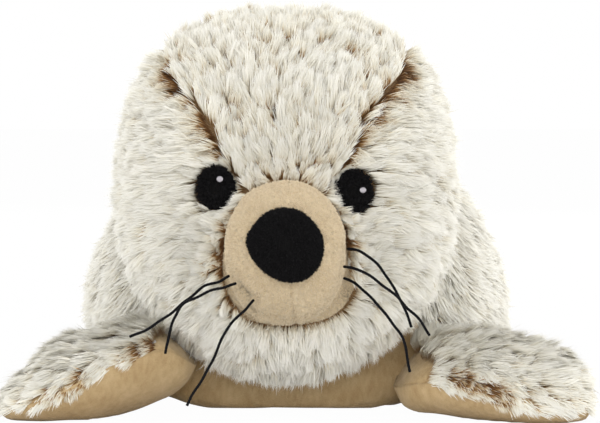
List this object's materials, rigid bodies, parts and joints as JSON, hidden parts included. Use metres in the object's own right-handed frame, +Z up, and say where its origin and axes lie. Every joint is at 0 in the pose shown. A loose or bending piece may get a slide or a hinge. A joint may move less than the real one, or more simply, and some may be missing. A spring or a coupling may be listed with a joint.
{
  "type": "plush seal",
  "caption": "Plush seal lying on its belly with head raised, tipped cream fur, tan muzzle, belly and flipper soles, black nose and thread whiskers.",
  "frame": {"origin": "point on the flat underside of the belly, on the toy's middle line; the toy rests on Z = 0", "axes": "+Z up, +Y toward the tail (the seal looks along -Y), +X to the seal's own left"},
  "size_m": [0.2872, 0.3573, 0.1988],
  "materials": {
    "tipped_fur": "long tipped pile, cream over brown roots",
    "tan_plush": "short pile",
    "black_plush": "short pile",
    "black_thread": "waxed twisted thread",
    "white_thread": "satin stitch",
    "fibre_filling": "loose polyester fibre"
  },
  "bodies": {
    "root": {"back_panel": "tipped_fur", "belly_panel": "tan_plush", "body_stuffing": "fibre_filling", "cheek_left": "tipped_fur", "cheek_right": "tipped_fur", "eye_glint_left": "white_thread", "eye_glint_right": "white_thread", "eye_left": "black_plush", "eye_right": "black_plush", "forehead_panel": "tipped_fur", "front_flipper_left_filling": "fibre_filling", "front_flipper_left_sole": "tan_plush", "front_flipper_left_top": "tipped_fur", "front_flipper_right_filling": "fibre_filling", "front_flipper_right_sole": "tan_plush", "front_flipper_right_top": "tipped_fur", "muzzle_cover": "tan_plush", "nose": "black_plush", "rear_flipper_left_filling": "fibre_filling", "rear_flipper_left_sole": "tan_plush", "rear_flipper_left_top": "tipped_fur", "rear_flipper_right_filling": "fibre_filling", "rear_flipper_right_sole": "tan_plush", "rear_flipper_right_top": "tipped_fur", "whisker_left_lower": "black_thread", "whisker_left_middle": "black_thread", "whisker_left_upper": "black_thread", "whisker_right_lower": "black_thread", "whisker_right_middle": "black_thread", "whisker_right_upper": "black_thread"}
  },
  "joints": []
}
